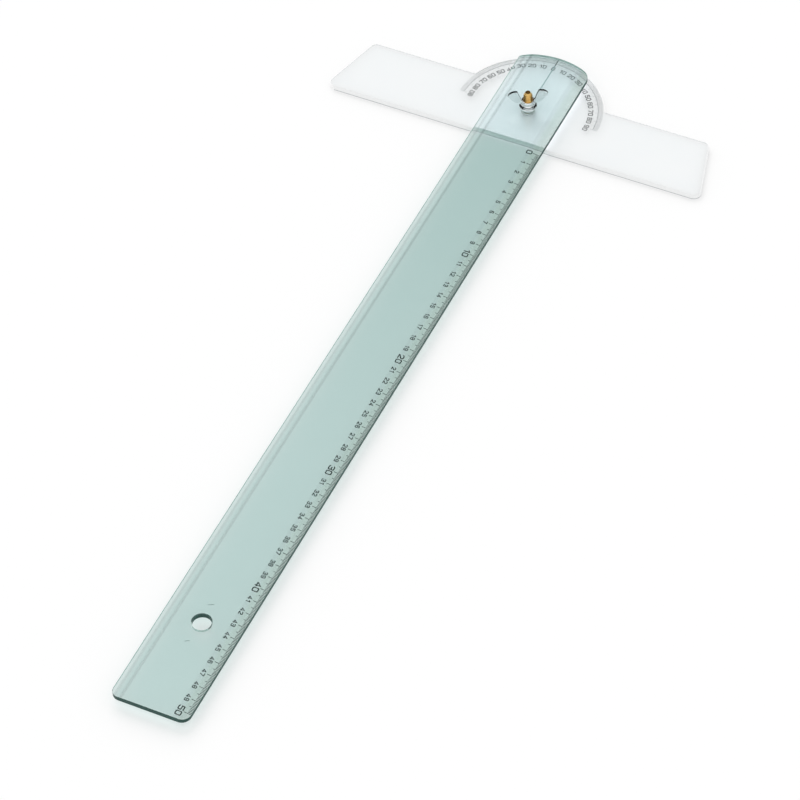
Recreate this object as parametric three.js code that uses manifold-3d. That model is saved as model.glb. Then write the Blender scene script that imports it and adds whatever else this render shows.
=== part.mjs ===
// Adjustable T-square: a tinted acrylic straightedge that swivels on a clear head with a protractor dial.
// Millimetres, +Z up. The origin is on the swivel axis, level with the head's underside.
// +X runs along the head, and the straightedge points along -Y with its angle at zero.
import * as THREE from 'three';
import { mergeVertices } from 'three/addons/utils/BufferGeometryUtils.js';
import Module from 'manifold-3d';

const wasm = await Module();
wasm.setup();

// Head: a bar with slanted ends and a half-round dial tab on its back edge
const headThickness = 3.5;
const headFrontReach = 30.2;
const headBackReach = 19.2;
const headHalfLength = 127.2;
const headEndSlant = THREE.MathUtils.degToRad(15);
const headCornerRadius = 5;
const headChamferWidth = 0.8;
const headChamferDepth = 0.7;
const dialTabRadius = 51;

// Straightedge: bevelled along both long edges, arched at the dial and rounded at its free end
const bladeThickness = 3.5;
const bladeHalfWidth = 25.5;
const bladeReach = 545;
const bladeArchRadius = 50.5;
const scaleSideCornerRadius = 8;
const plainSideCornerRadius = 1.5;
const bladeEndCornerRadius = 6;
const bladeBevelWidth = 7;
const bladeEdgeThickness = 2.6;
const hangingHoleRadius = 6;
const hangingHoleFromEnd = 69.4;

// Pivot screw: M6 brass, its flat head set flush into the underside of the clear head
const threadRadius = 3;
const screwAboveBlade = 13.1;
const screwTipChamfer = 0.6;
const screwHeadRadius = 4.5;
const screwHeadThickness = 1.5;

// Flat washer
const washerRadius = 6;
const washerThickness = 1.6;
const washerEdge = 0.25;

// Wing nut: a hub with a foot and a rolled collar, and two thin wings turned to face the user
const nutFootRadius = 5.3;
const nutFootHeight = 1.1;
const nutWaistRadius = 4.2;
const nutCollarRadius = 4.5;
const nutHubHeight = 4.6;
const nutEdge = 0.3;
const wingReach = 13.4;
const wingHeight = 12.5;
const wingThickness = 1.3;
const wingTurn = THREE.MathUtils.degToRad(30);

// Fits
const pivotClearance = 0.1;
const threadClearance = 0.15;
const washerClearance = 0.2;
const recessClearance = 0.1;
const sheetGap = 0.1;
const cutOverrun = 2;

// Facets
const roundSegments = 48;
const tabSegments = 64;
const archSegments = 24;
const cornerSegments = 8;
const curveSegments = 10;

// Heights of the stack, worked out from the pieces under each one
const bladeBottom = headThickness + sheetGap;
const bladeTop = bladeBottom + bladeThickness;
const washerBottom = bladeTop + sheetGap;
const nutBottom = washerBottom + washerThickness + sheetGap;
const screwTop = bladeTop + screwAboveBlade;

function material(color, roughness, metalness, opacity = 1) {
  return new THREE.MeshStandardMaterial({ color, roughness, metalness, opacity, transparent: opacity < 1 });
}

const clearAcrylic = material(0xf2f8fa, 0.08, 0, 0.4);
const tintedAcrylic = material(0x9dbfba, 0.08, 0, 0.75);
const brass = material(0xc9a25a, 0.3, 1);
const platedSteel = material(0xd5dadb, 0.15, 1);

// Turns a closed geometry into a manifold solid
function solid(geometry) {
  geometry.deleteAttribute('normal');
  geometry.deleteAttribute('uv');
  const merged = mergeVertices(geometry);
  const index = merged.index.array;
  const triangles = [];
  for (let i = 0; i < index.length; i += 3) {
    const [a, b, c] = [index[i], index[i + 1], index[i + 2]];
    if (a !== b && b !== c && c !== a) triangles.push(a, b, c);
  }
  const vertProperties = new Float32Array(merged.attributes.position.array);
  return new wasm.Manifold(new wasm.Mesh({ numProp: 3, vertProperties, triVerts: new Uint32Array(triangles) }));
}

// Turns a manifold solid back into a named mesh
function pieceMesh(name, body, finish) {
  const { vertProperties, triVerts, numProp } = body.getMesh();
  const positions = new Float32Array(triVerts.length * 3);
  triVerts.forEach((vertex, i) => {
    positions.set(vertProperties.subarray(vertex * numProp, vertex * numProp + 3), i * 3);
  });
  const geometry = new THREE.BufferGeometry();
  geometry.setAttribute('position', new THREE.BufferAttribute(positions, 3));
  geometry.computeVertexNormals();
  const mesh = new THREE.Mesh(geometry, finish);
  mesh.name = name;
  return mesh;
}

// Points of an arc from one angle to another, both ends included
function arcPoints(x, y, radius, from, to, segments) {
  return Array.from({ length: segments + 1 }, (_, i) => {
    const angle = from + ((to - from) * i) / segments;
    return new THREE.Vector2(x + radius * Math.cos(angle), y + radius * Math.sin(angle));
  });
}

function mirrored(points) {
  return points.map((point) => new THREE.Vector2(-point.x, point.y)).reverse();
}

// Solid of revolution about Z from a profile of radius and height pairs
function turned(profile) {
  const points = profile.map(([radius, height]) => new THREE.Vector2(radius, height));
  return solid(new THREE.LatheGeometry(points, roundSegments).rotateX(Math.PI / 2));
}

// Ring of revolution, whose profile closes on itself
function turnedRing(profile) {
  return turned([...profile, profile[0]]);
}

function cylinder(radius, bottom, top) {
  return turned([[0, bottom], [radius, bottom], [radius, top], [0, top]]);
}

function extruded(points, depth) {
  return new THREE.ExtrudeGeometry(new THREE.Shape(points), { depth, bevelEnabled: false });
}

// Outline of the head, drawn in by the inset all round
function headOutline(inset) {
  const cornerRadius = headCornerRadius - inset;
  const endDistance = headHalfLength * Math.cos(headEndSlant) - headCornerRadius;
  const cornerX = (y) => (endDistance - y * Math.sin(headEndSlant)) / Math.cos(headEndSlant);
  const frontY = headCornerRadius - headFrontReach;
  const backY = headBackReach - headCornerRadius;
  const tabRadius = dialTabRadius - inset;
  const tabStart = Math.asin((headBackReach - inset) / tabRadius);
  const right = [
    ...arcPoints(cornerX(frontY), frontY, cornerRadius, -Math.PI / 2, headEndSlant, cornerSegments),
    ...arcPoints(cornerX(backY), backY, cornerRadius, headEndSlant, Math.PI / 2, cornerSegments),
  ];
  const tab = arcPoints(0, 0, tabRadius, tabStart, Math.PI - tabStart, tabSegments);
  return [...right, ...tab, ...mirrored(right)];
}

// Closed skin over rings of equal length, each with its own height, with flat caps
function lofted(rings) {
  const count = rings[0].points.length;
  const positions = rings.flatMap(({ points, z }) => points.flatMap((point) => [point.x, point.y, z]));
  const index = [];
  for (let ring = 0; ring < rings.length - 1; ring += 1) {
    for (let i = 0; i < count; i += 1) {
      const [a, b] = [ring * count + i, ring * count + ((i + 1) % count)];
      index.push(a, b, b + count, a, b + count, a + count);
    }
  }
  const last = (rings.length - 1) * count;
  THREE.ShapeUtils.triangulateShape(rings[0].points, []).forEach(([a, b, c]) => index.push(a, c, b));
  THREE.ShapeUtils.triangulateShape(rings.at(-1).points, []).forEach(([a, b, c]) => {
    index.push(last + a, last + b, last + c);
  });
  const geometry = new THREE.BufferGeometry();
  geometry.setAttribute('position', new THREE.Float32BufferAttribute(positions, 3));
  geometry.setIndex(index);
  return solid(geometry);
}

// Clear bar and dial tab in one sheet, chamfered round the top, with the recess for the screw's head
function protractorHead() {
  const sheet = lofted([
    { points: headOutline(0), z: 0 },
    { points: headOutline(0), z: headThickness - headChamferDepth },
    { points: headOutline(headChamferWidth), z: headThickness },
  ]);
  const hole = cylinder(threadRadius + pivotClearance, -cutOverrun, headThickness + cutOverrun);
  const recess = cylinder(screwHeadRadius + recessClearance, -cutOverrun, screwHeadThickness + sheetGap);
  return pieceMesh('protractor_head', sheet.subtract(hole).subtract(recess), clearAcrylic);
}

// Where the corner between a long edge and the arch has its centre, and the angle at which it meets the arch
function archCorner(cornerRadius) {
  const x = bladeHalfWidth - cornerRadius;
  const y = Math.sqrt((bladeArchRadius - cornerRadius) ** 2 - x ** 2);
  return { x, y, angle: Math.atan2(y, x) };
}

// One side of the straightedge's outline, from the free end up to the arch
function bladeSide(cornerRadius) {
  const endX = bladeHalfWidth - bladeEndCornerRadius;
  const endY = bladeEndCornerRadius - bladeReach;
  const { x, y, angle } = archCorner(cornerRadius);
  return [
    ...arcPoints(endX, endY, bladeEndCornerRadius, -Math.PI / 2, 0, cornerSegments),
    ...arcPoints(x, y, cornerRadius, 0, angle, cornerSegments),
  ];
}

// Plan outline of the straightedge, whose corner at the arch is rounder on the side with the scale
function bladeOutline() {
  const from = archCorner(scaleSideCornerRadius).angle;
  const to = Math.PI - archCorner(plainSideCornerRadius).angle;
  const arch = arcPoints(0, 0, bladeArchRadius, from, to, archSegments).slice(1, -1);
  return [...bladeSide(scaleSideCornerRadius), ...arch, ...mirrored(bladeSide(plainSideCornerRadius))];
}

// Cross-section of the straightedge, flat below and bevelled above
function bladeSection() {
  const crestX = bladeHalfWidth - bladeBevelWidth;
  const right = [
    new THREE.Vector2(bladeHalfWidth, 0),
    new THREE.Vector2(bladeHalfWidth, bladeEdgeThickness),
    new THREE.Vector2(crestX, bladeThickness),
  ];
  return [...right, ...mirrored(right)];
}

function straightedgeBlade() {
  const length = bladeReach + bladeArchRadius + cutOverrun + cutOverrun;
  const bar = extruded(bladeSection(), length).rotateX(Math.PI / 2);
  bar.translate(0, bladeArchRadius + cutOverrun, 0);
  const plan = extruded(bladeOutline(), bladeThickness + cutOverrun + cutOverrun).translate(0, 0, -cutOverrun);
  const pivotHole = cylinder(threadRadius + pivotClearance, -cutOverrun, bladeThickness + cutOverrun);
  const hangingHole = cylinder(hangingHoleRadius, -cutOverrun, bladeThickness + cutOverrun)
    .translate([0, hangingHoleFromEnd - bladeReach, 0]);
  const body = solid(bar).intersect(solid(plan)).subtract(pivotHole).subtract(hangingHole);
  const mesh = pieceMesh('straightedge_blade', body, tintedAcrylic);
  mesh.position.z = bladeBottom;
  return mesh;
}

function pivotScrew() {
  const body = turned([
    [0, 0],
    [screwHeadRadius, 0],
    [screwHeadRadius, screwHeadThickness],
    [threadRadius, screwHeadThickness],
    [threadRadius, screwTop - screwTipChamfer],
    [threadRadius - screwTipChamfer, screwTop],
    [0, screwTop],
  ]);
  return pieceMesh('pivot_screw', body, brass);
}

function flatWasher() {
  const bore = threadRadius + washerClearance;
  const body = turnedRing([
    [bore, 0],
    [washerRadius - washerEdge, 0],
    [washerRadius, washerEdge],
    [washerRadius, washerThickness - washerEdge],
    [washerRadius - washerEdge, washerThickness],
    [bore, washerThickness],
  ]);
  const mesh = pieceMesh('flat_washer', body, platedSteel);
  mesh.position.z = washerBottom;
  return mesh;
}

// Hub of the wing nut, with its bore open from end to end
function nutHub() {
  const bore = threadRadius + threadClearance;
  const waistHeight = (nutFootHeight + nutHubHeight) / 2;
  return turnedRing([
    [bore, 0],
    [nutFootRadius - nutEdge, 0],
    [nutFootRadius, nutEdge],
    [nutFootRadius, nutFootHeight - nutEdge],
    [nutFootRadius - nutEdge, nutFootHeight],
    [nutWaistRadius, nutFootHeight + nutEdge],
    [nutWaistRadius, waistHeight],
    [nutCollarRadius, waistHeight + nutEdge],
    [nutCollarRadius, nutHubHeight - nutEdge],
    [nutCollarRadius - nutEdge, nutHubHeight],
    [bore, nutHubHeight],
  ]);
}

// One wing, a plate that stands on the hub's wall and fans out upwards
function nutWing() {
  const root = (threadRadius + threadClearance + nutWaistRadius) / 2;
  const tipHeightShare = 0.74;
  const crestReachShare = 0.54;
  const lowerBulgeShares = { reach: 0.75, height: 0.25 };
  const upperBulgeShares = { reach: 0.9, height: 1.03 };
  const shape = new THREE.Shape();
  shape.moveTo(root, nutFootHeight);
  shape.lineTo(nutWaistRadius, nutFootHeight);
  shape.quadraticCurveTo(
    wingReach * lowerBulgeShares.reach,
    wingHeight * lowerBulgeShares.height,
    wingReach,
    wingHeight * tipHeightShare,
  );
  shape.quadraticCurveTo(
    wingReach * upperBulgeShares.reach,
    wingHeight * upperBulgeShares.height,
    wingReach * crestReachShare,
    wingHeight,
  );
  shape.lineTo(nutCollarRadius, nutHubHeight);
  shape.lineTo(root, nutHubHeight - nutEdge);
  const options = { depth: wingThickness, bevelEnabled: false, curveSegments };
  const plate = new THREE.ExtrudeGeometry(shape, options).translate(0, 0, -wingThickness / 2);
  return solid(plate.rotateX(Math.PI / 2));
}

function wingNut() {
  const wing = nutWing();
  const degreesToOtherSide = THREE.MathUtils.radToDeg(Math.PI);
  const body = nutHub().add(wing).add(wing.rotate([0, 0, degreesToOtherSide]));
  const mesh = pieceMesh('wing_nut', body, platedSteel);
  mesh.position.z = nutBottom;
  mesh.rotation.z = wingTurn;
  return mesh;
}

const tSquare = new THREE.Group();
tSquare.add(protractorHead(), straightedgeBlade(), pivotScrew(), flatWasher(), wingNut());

export default tSquare;
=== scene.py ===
# Adjustable T-square: a tinted acrylic straightedge that swivels on a clear head with a protractor dial.
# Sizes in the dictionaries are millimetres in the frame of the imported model, angles are degrees.
import math

import bpy
import bmesh
from mathutils import Matrix, Vector
from mathutils.geometry import tessellate_polygon


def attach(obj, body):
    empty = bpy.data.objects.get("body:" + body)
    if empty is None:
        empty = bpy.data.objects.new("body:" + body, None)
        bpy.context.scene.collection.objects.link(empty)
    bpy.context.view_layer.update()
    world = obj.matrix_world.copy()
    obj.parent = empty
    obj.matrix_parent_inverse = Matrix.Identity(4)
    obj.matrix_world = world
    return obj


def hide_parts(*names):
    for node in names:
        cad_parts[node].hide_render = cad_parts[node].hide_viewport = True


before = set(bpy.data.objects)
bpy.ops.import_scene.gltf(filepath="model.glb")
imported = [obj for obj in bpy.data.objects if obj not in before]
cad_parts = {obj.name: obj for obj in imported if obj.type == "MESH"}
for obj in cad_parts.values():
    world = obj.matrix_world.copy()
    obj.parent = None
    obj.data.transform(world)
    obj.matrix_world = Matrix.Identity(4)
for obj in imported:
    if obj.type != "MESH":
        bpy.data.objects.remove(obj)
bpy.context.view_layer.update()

scene = bpy.context.scene
mm = 0.001
print("frame loaded:", ", ".join(sorted(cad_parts)))


# Camera and light

cameraView = {
    "place": (765.111, -1702.062, 1808.162),
    "turn": (41.73, 1.73371, 25.12707),
    "lens": 175.5615,
    "sensor": 36.0,
    "shift": (-0.000625, 0.000625),
    "clip": (0.05, 60.0),          # metres
}

studio = {
    "ambient": 0.83,
    "sunShare": 0.2,               # what the sun adds on a flat white sheet
    "sunFrom": (-0.5, 0.66, 0.56),
    "sunSpread": 45.0,
    "floorWhite": "#F7F7F7",
    "floorLift": 0.04,             # brings the empty floor up to the white of the backdrop
    "floorGap": 0.1,
    "floorReach": 20.0,            # metres
    "bounces": 24,                 # light that the sheets lead along inside takes many
    # Brightness of the sky for matt surfaces: sine of the height, share of the ambient
    "soft": ((0.0, 1.15), (0.35, 1.08), (1.0, 0.93)),
    # What shiny surfaces see from the horizon up: sine of the height, grey value
    "mirrored": ((0.0, 1.0), (0.2, 1.0), (0.3, 0.12), (0.5, 0.0), (1.0, 0.0)),
    # and round softboxes: a direction, then cosine from its axis and grey value
    "softboxes": (
        ((-0.194, 0.375, 0.906), ((0.0, 0.0), (0.938, 0.0), (0.946, 0.5), (0.959, 1.45), (0.971, 1.75), (0.976, 2.3))),
        ((0.3, -0.62, 0.72), ((0.0, 0.0), (0.62, 0.0), (0.72, 1.0), (1.0, 1.1))),
    ),
    "brightest": 3.0,              # the ramps above are divided by this, the backgrounds made up for it
}


# sRGB hex to the linear colour that shaders take
def linear(hexColour):
    parts = [int(hexColour[i:i + 2], 16) / 255 for i in (1, 3, 5)]
    return [c / 12.92 if c <= 0.04045 else ((c + 0.055) / 1.055) ** 2.4 for c in parts] + [1.0]


# One node with its settings; an input takes a value, another node's socket, or a node for its first live socket
def addNode(tree, kind, inputs=None, **settings):
    node = tree.nodes.new(kind)
    for name, value in settings.items():
        setattr(node, name, value)
    for key, value in (inputs or {}).items():
        if isinstance(value, bpy.types.Node):
            value = next(socket for socket in value.outputs if socket.enabled)
        if isinstance(value, bpy.types.NodeSocket):
            tree.links.new(value, node.inputs[key])
        else:
            node.inputs[key].default_value = value
    return node


def linkObject(name, data):
    thing = bpy.data.objects.new(name, data)
    scene.collection.objects.link(thing)
    return thing


# Stops are a position with one grey value or three colour values
def fillRamp(node, stops):
    ramp = node.color_ramp
    while len(ramp.elements) < len(stops):
        ramp.elements.new(0.5)
    for element, (position, *shade) in zip(ramp.elements, stops):
        element.position = position
        element.color = (*(shade * 3 if len(shade) == 1 else shade), 1.0)


def makeCamera(view):
    data = bpy.data.cameras.new("camera")
    data.sensor_width = view["sensor"]
    data.lens = view["lens"]
    data.shift_x, data.shift_y = view["shift"]
    data.clip_start, data.clip_end = view["clip"]
    camera = linkObject("camera", data)
    camera.location = Vector(view["place"]) * mm
    camera.rotation_euler = [math.radians(a) for a in view["turn"]]
    scene.camera = camera


def makeWorld(look):
    world = bpy.data.worlds.new("studio")
    scene.world = world
    world.use_nodes = True
    world.cycles.sampling_method = "NONE"
    tree = world.node_tree
    tree.nodes.clear()
    path = addNode(tree, "ShaderNodeLightPath")
    direction = addNode(tree, "ShaderNodeTexCoord")
    height = addNode(tree, "ShaderNodeSeparateXYZ", {0: direction.outputs["Generated"]})
    most = look["brightest"]
    sky = addNode(tree, "ShaderNodeValToRGB", {0: height.outputs["Z"]})
    fillRamp(sky, [(p, g / most) for p, g in look["soft"]])
    shiny = addNode(tree, "ShaderNodeValToRGB", {0: height.outputs["Z"]})
    fillRamp(shiny, [(p, g / most) for p, g in look["mirrored"]])
    for towards, fade in look["softboxes"]:
        offAxis = addNode(tree, "ShaderNodeVectorMath", {
            0: direction.outputs["Generated"], 1: Vector(towards).normalized()}, operation="DOT_PRODUCT")
        box = addNode(tree, "ShaderNodeValToRGB", {0: offAxis})
        fillRamp(box, [(p, g / most) for p, g in fade])
        shiny = addNode(tree, "ShaderNodeVectorMath", {0: shiny, 1: box}, operation="MAXIMUM")
    soft = addNode(tree, "ShaderNodeBackground", {"Color": sky, "Strength": most * look["ambient"]})
    mirrored = addNode(tree, "ShaderNodeBackground", {"Color": shiny, "Strength": most})
    seen = addNode(tree, "ShaderNodeBackground", {"Color": (1, 1, 1, 1), "Strength": 1.0})
    glossy = addNode(tree, "ShaderNodeMixShader", {0: path.outputs["Is Glossy Ray"], 1: soft, 2: mirrored})
    direct = addNode(tree, "ShaderNodeMath", {
        0: path.outputs["Is Camera Ray"], 1: path.outputs["Is Transmission Ray"]}, operation="MAXIMUM")
    backdrop = addNode(tree, "ShaderNodeMixShader", {0: direct, 1: glossy, 2: seen})
    addNode(tree, "ShaderNodeOutputWorld", {"Surface": backdrop})


def makeSun(look):
    towards = Vector(look["sunFrom"]).normalized()
    data = bpy.data.lights.new("softSun", "SUN")
    data.angle = math.radians(look["sunSpread"])
    data.energy = math.pi * look["sunShare"] / towards.z
    sun = linkObject("softSun", data)
    sun.visible_glossy = False     # the world gives the reflections
    sun.visible_transmission = False
    sun.rotation_euler = towards.to_track_quat("Z", "Y").to_euler()


def makeFloor(look):
    paper = bpy.data.materials.new("mattWhitePaper")
    paper.use_nodes = True
    tree = paper.node_tree
    tree.nodes.clear()
    path = addNode(tree, "ShaderNodeLightPath")
    mirrors = addNode(tree, "ShaderNodeMath", {
        0: path.outputs["Is Glossy Ray"], 1: path.outputs["Is Transmission Ray"]}, operation="MAXIMUM")
    seen = addNode(tree, "ShaderNodeMath", {0: path.outputs["Is Camera Ray"], 1: mirrors}, operation="MAXIMUM")
    lift = addNode(tree, "ShaderNodeMath", {0: seen, 1: look["floorLift"]}, operation="MULTIPLY")
    matt = addNode(tree, "ShaderNodeBsdfDiffuse", {"Color": linear(look["floorWhite"])})
    glow = addNode(tree, "ShaderNodeEmission", {"Strength": lift})
    both = addNode(tree, "ShaderNodeAddShader", {0: matt, 1: glow})
    addNode(tree, "ShaderNodeOutputMaterial", {"Surface": both})
    reach, z = look["floorReach"], -look["floorGap"] * mm
    corners = [(-reach, -reach, z), (reach, -reach, z), (reach, reach, z), (-reach, reach, z)]
    sheet = bpy.data.meshes.new("floor")
    sheet.from_pydata(corners, [], [(0, 1, 2, 3)])
    sheet.materials.append(paper)
    linkObject("floor", sheet)


makeCamera(cameraView)
makeWorld(studio)
makeSun(studio)
makeFloor(studio)
scene.view_settings.view_transform = "Standard"
for kind in ("max_bounces", "transmission_bounces", "glossy_bounces"):
    setattr(scene.cycles, kind, studio["bounces"])
print("camera, light and floor ready")


# Materials

def newMaterial(name):
    material = bpy.data.materials.new(name)
    material.use_nodes = True
    material.node_tree.nodes.clear()
    return material, material.node_tree


# Object coordinates in millimetres
def millimetres(tree):
    place = addNode(tree, "ShaderNodeTexCoord")
    return addNode(tree, "ShaderNodeVectorMath", {0: place.outputs["Object"], "Scale": 1000.0}, operation="SCALE")


# Bumps from a noise of this size, in millimetres
def relief(tree, where, size, height, strength):
    noise = addNode(tree, "ShaderNodeTexNoise", {"Vector": where, "Scale": 1 / size, "Detail": 2.0})
    return addNode(tree, "ShaderNodeBump", {"Strength": strength, "Distance": height * mm, "Height": noise})


# Cast acrylic sheet, polished: water-clear with a faint tint that deepens with the length of the path,
# mirror-smooth faces with a very slight waviness, and sawn edges that are satin and catch the light.
acrylicLook = {
    "ior": 1.49,
    "waveSize": 14.0,
    "waveHeight": 0.004,
    "waveStrength": 0.35,
    "sawMarks": 0.6,                # per millimetre
    "sawMarkShade": 0.94,
    "sawnRoughness": 0.45,
    "sawnSpecular": 0.3,
    # painted shade along the bottom of the sawn edges: full up to the first height, gone at the second
    "paintedShadeHeights": (0.3, 0.8),
    "density": 100.0,
    # absorbs: per metre, red green blue. The passes are the light that gets past a sawn edge to what lies below.
    # The sheet's cloudiness runs between two colours, over patches this many to the millimetre.
    "clear": {
        "absorbs": (2.0, 0.6, 0.3),
        "edge": "#FDFEFE",
        "litEdge": "#FFFFFF",       # painted light: a paler colour for the edges turned to the light
        "paintedBottomShade": "#A6ABAE",         # painted shade along the bottom of the edge, a dark contact line
        "edgeShare": 1.0,
        "edgePasses": 0.7,
        "litEdgePasses": 0.9,
        "clouds": ("#FBFDFE", "#FFFFFF", 0.03),
    },
    "tinted": {
        "absorbs": (71.0, 38.0, 42.0),
        "edge": "#214A43",
        # painted light: the edges turned to the light are pale, the others dark teal
        "litEdge": "#C9DDD6",
        "paintedBottomShade": "#214A43",
        "edgeShare": 0.88,
        "edgePasses": 0.5,
        "litEdgePasses": 0.85,
        "clouds": ("#FAFCFC", "#FFFFFF", 0.02),
        "middleHeight": 5.5,        # halfway through the sheet: what lies above belongs to its top
        "viewPath": 3.9,            # length of the view's way through the sheet
        "gathered": (1.18, 1.16, 1.19),
    },
}


def castAcrylic(name, look, sheetColour, shadowGain=(1, 1, 1)):
    material, tree = newMaterial(name)
    where = millimetres(tree)
    waves = relief(tree, where, acrylicLook["waveSize"], acrylicLook["waveHeight"], acrylicLook["waveStrength"])
    glass = addNode(tree, "ShaderNodeBsdfPrincipled", {
        "Base Color": sheetColour(tree, where, look), "Roughness": 0.0, "IOR": acrylicLook["ior"],
        "Transmission Weight": 1.0, "Normal": waves})
    # light reaches what lies below; through two sheets it has gathered a little on the way
    path = addNode(tree, "ShaderNodeLightPath")
    edge = addNode(tree, "ShaderNodeAttribute", attribute_name="sawn").outputs["Fac"]
    lit = addNode(tree, "ShaderNodeAttribute", attribute_name="litEdge").outputs["Fac"]
    deep = addNode(tree, "ShaderNodeMath", {0: path.outputs["Transparent Depth"], 1: 1.5}, operation="GREATER_THAN")
    gain = addNode(tree, "ShaderNodeMix", {"Factor": deep, 6: (1, 1, 1, 1), 7: (*shadowGain, 1)}, data_type="RGBA")
    edgePasses = addNode(tree, "ShaderNodeMix", {
        "Factor": lit, 6: [look["edgePasses"]] * 3 + [1.0], 7: [look["litEdgePasses"]] * 3 + [1.0]}, data_type="RGBA")
    passed = addNode(tree, "ShaderNodeMix", {"Factor": edge, 6: gain, 7: edgePasses}, data_type="RGBA")
    through = addNode(tree, "ShaderNodeBsdfTransparent", {"Color": passed})
    # sawn edges: fine saw marks across the sheet, a paler painted-light colour on the edges turned to the light, and
    # painted shade along the bottom of the others
    marks = addNode(tree, "ShaderNodeTexNoise", {"Vector": where, "Scale": acrylicLook["sawMarks"], "Detail": 2.0})
    shade = linear(look["edge"])
    darker = [c * acrylicLook["sawMarkShade"] for c in shade[:3]] + [1.0]
    sawColour = addNode(tree, "ShaderNodeMix", {"Factor": marks, 6: darker, 7: shade}, data_type="RGBA")
    # painted light: the edges turned to the light are paler
    paintedEdgeColour = addNode(tree, "ShaderNodeMix", {
        "Factor": lit, 6: sawColour, 7: linear(look["litEdge"])}, data_type="RGBA")
    height = addNode(tree, "ShaderNodeSeparateXYZ", {0: where})
    full, gone = acrylicLook["paintedShadeHeights"]
    # painted shade: darker towards the bottom of the edges that are not turned to the light
    low = addNode(tree, "ShaderNodeMapRange", {
        "Value": height.outputs["Z"], "From Min": full, "From Max": gone, "To Min": 1.0, "To Max": 0.0})
    paintedShadeMask = addNode(tree, "ShaderNodeMath", {0: low, 1: lit}, operation="SUBTRACT", use_clamp=True)
    withPaintedShade = addNode(tree, "ShaderNodeMix", {
        "Factor": paintedShadeMask, 6: paintedEdgeColour, 7: linear(look["paintedBottomShade"])}, data_type="RGBA")
    sawn = addNode(tree, "ShaderNodeBsdfPrincipled", {
        "Base Color": withPaintedShade, "Roughness": acrylicLook["sawnRoughness"], "IOR": acrylicLook["ior"],
        "Specular IOR Level": acrylicLook["sawnSpecular"]})
    share = addNode(tree, "ShaderNodeMath", {0: edge, 1: look["edgeShare"]}, operation="MULTIPLY")
    looks = addNode(tree, "ShaderNodeMixShader", {0: share, 1: glass, 2: sawn})
    forLamps = addNode(tree, "ShaderNodeMixShader", {0: path.outputs["Is Shadow Ray"], 1: looks, 2: through})
    surface = addNode(tree, "ShaderNodeMixShader", {0: path.outputs["Is Diffuse Ray"], 1: forLamps, 2: through})
    density = acrylicLook["density"]
    inside = addNode(tree, "ShaderNodeVolumeAbsorption", {
        "Color": [1 - a / density for a in look["absorbs"]] + [1.0], "Density": density})
    addNode(tree, "ShaderNodeOutputMaterial", {"Surface": surface, "Volume": inside})
    return material


def cloudySheet(tree, where, look):
    dull, clean, patches = look["clouds"]
    cloud = addNode(tree, "ShaderNodeTexNoise", {"Vector": where, "Scale": patches, "Detail": 1.0})
    return addNode(tree, "ShaderNodeMix", {"Factor": cloud, 6: linear(dull), 7: linear(clean)}, data_type="RGBA")


# Painted light: brighter close to the rim, standing in for the light turned back by the edge that gathers there
def clearSheetColour(tree, where, look):
    rim = addNode(tree, "ShaderNodeAttribute", attribute_name="rim").outputs["Fac"]
    return addNode(tree, "ShaderNodeMix", {
        "Factor": rim, 6: cloudySheet(tree, where, look), 7: linear("#FFFFFF")}, data_type="RGBA")


# Across the top of the straightedge: x, then how much of each colour the surface lets through. The plain bevel is the
# palest, the scale bevel the greenest, and soft dark lines of painted shade run along the creases on both sides of the
# middle, with one more on the plain bevel.
acrossBlade = (
    (-25.5, 0.95, 0.93, 0.93), (-23.5, 0.95, 0.93, 0.93), (-22.4, 0.7, 0.69, 0.69), (-21.8, 0.7, 0.69, 0.69),
    (-20.8, 0.87, 0.87, 0.87), (-19.2, 0.87, 0.87, 0.87), (-18.1, 0.5, 0.5, 0.5), (-17.3, 0.48, 0.48, 0.48),
    (-16.6, 0.76, 0.76, 0.76), (-15.5, 0.75, 0.75, 0.75), (15.8, 0.76, 0.76, 0.76), (17.0, 0.68, 0.68, 0.68),
    (18.3, 0.68, 0.68, 0.68), (20.0, 0.62, 0.65, 0.6), (21.0, 0.58, 0.61, 0.56), (22.5, 0.6, 0.63, 0.58),
    (25.5, 0.58, 0.61, 0.56),
)


def tintedSheetColour(tree, where, look):
    parts = addNode(tree, "ShaderNodeSeparateXYZ", {0: where})
    first, last = acrossBlade[0][0], acrossBlade[-1][0]
    share = addNode(tree, "ShaderNodeMapRange", {"Value": parts.outputs["X"], "From Min": first, "From Max": last})
    # the painted shade lines and bevel tints, on the top face only
    creases = addNode(tree, "ShaderNodeValToRGB", {0: share})
    fillRamp(creases, [((x - first) / (last - first), *shade) for x, *shade in acrossBlade])
    top = addNode(tree, "ShaderNodeMath", {0: parts.outputs["Z"], 1: look["middleHeight"]}, operation="GREATER_THAN")
    return addNode(tree, "ShaderNodeMix", {
        "Factor": top, 6: cloudySheet(tree, where, look), 7: creases}, data_type="RGBA")


# Turned brass, bare: warm yellow metal, satin from the thread die, browner where it has been handled
brassLook = {
    "bright": "#F6D58C",
    "dull": "#B98A45",
    "paintedDark": "#6E5026",           # painted dark colour for the screw's flat end
    "spotSize": 1.4,
    "roughness": (0.2, 0.34),
    "grainSize": 0.25,
    "grainHeight": 0.01,
}

# Bright nickel plate on pressed steel: cool near-mirror with faint orange-peel and rubbed patches
nickelLook = {
    "bright": "#F2F4F4",
    "dull": "#DDE2E2",
    # painted dark reflection along the wings' edges
    "paintedDark": "#2E3335",
    "spotSize": 3.0,
    "roughness": (0.05, 0.15),
    "grainSize": 0.6,
    "grainHeight": 0.006,
}


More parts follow.
